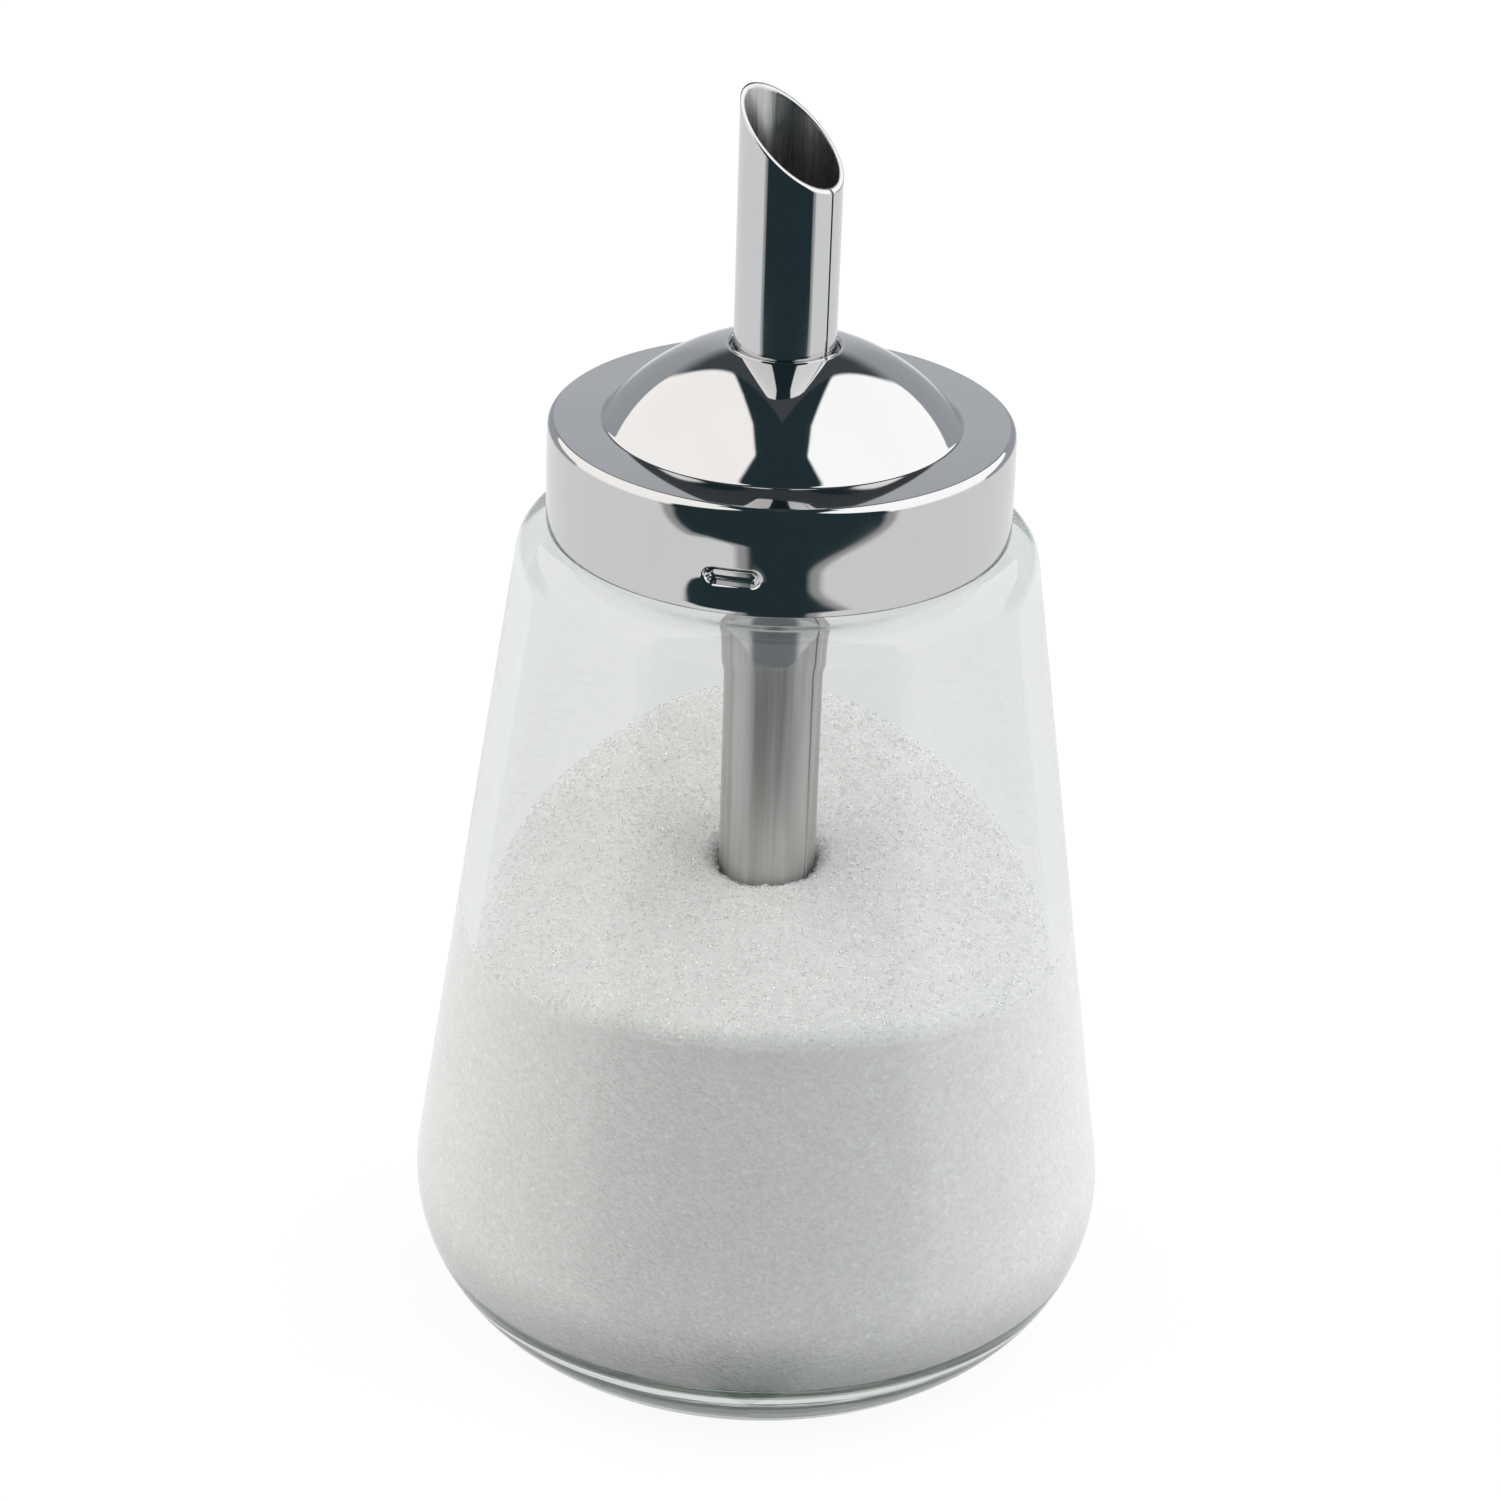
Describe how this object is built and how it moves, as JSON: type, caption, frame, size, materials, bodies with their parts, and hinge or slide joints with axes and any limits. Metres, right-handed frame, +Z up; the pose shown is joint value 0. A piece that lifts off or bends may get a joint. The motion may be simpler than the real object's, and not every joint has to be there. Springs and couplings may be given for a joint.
{
  "type": "sugar dispenser",
  "caption": "Conical glass sugar dispenser with a domed steel bayonet cap and a slanted dosing tube, half filled with sugar.",
  "frame": {"origin": "centre of the jar's base, on the surface it stands on", "axes": "+Z up along the jar's axis through the cap and the tube, -Y towards the front of the picture"},
  "size_m": [0.08, 0.08, 0.1441],
  "materials": {
    "clear_glass": "clear soda-lime glass, faintly green where it is thick",
    "sugar": "fine white crystals",
    "seal": "milky soft plastic",
    "polished_steel": "mirror-polished stainless steel",
    "tube_steel": "polished stainless steel tube, drawn grain inside and below the cap"
  },
  "bodies": {
    "jar": {"glass_jar": "clear_glass", "sugar_fill": "sugar"},
    "seal": {"sealing_ring": "seal"},
    "cap": {"cap_shell": "polished_steel", "dosing_tube": "tube_steel"}
  },
  "joints": [
    {"name": "cap_lift", "type": "slide", "parent": "jar", "child": "seal", "axis": [0, 0, 1], "range_m": [0, 0.1]},
    {"name": "cap_turn", "type": "hinge", "parent": "seal", "child": "cap", "pos_m": [0, 0, 0.1], "axis": [0, 0, 1], "range_deg": [-60, 0]}
  ]
}
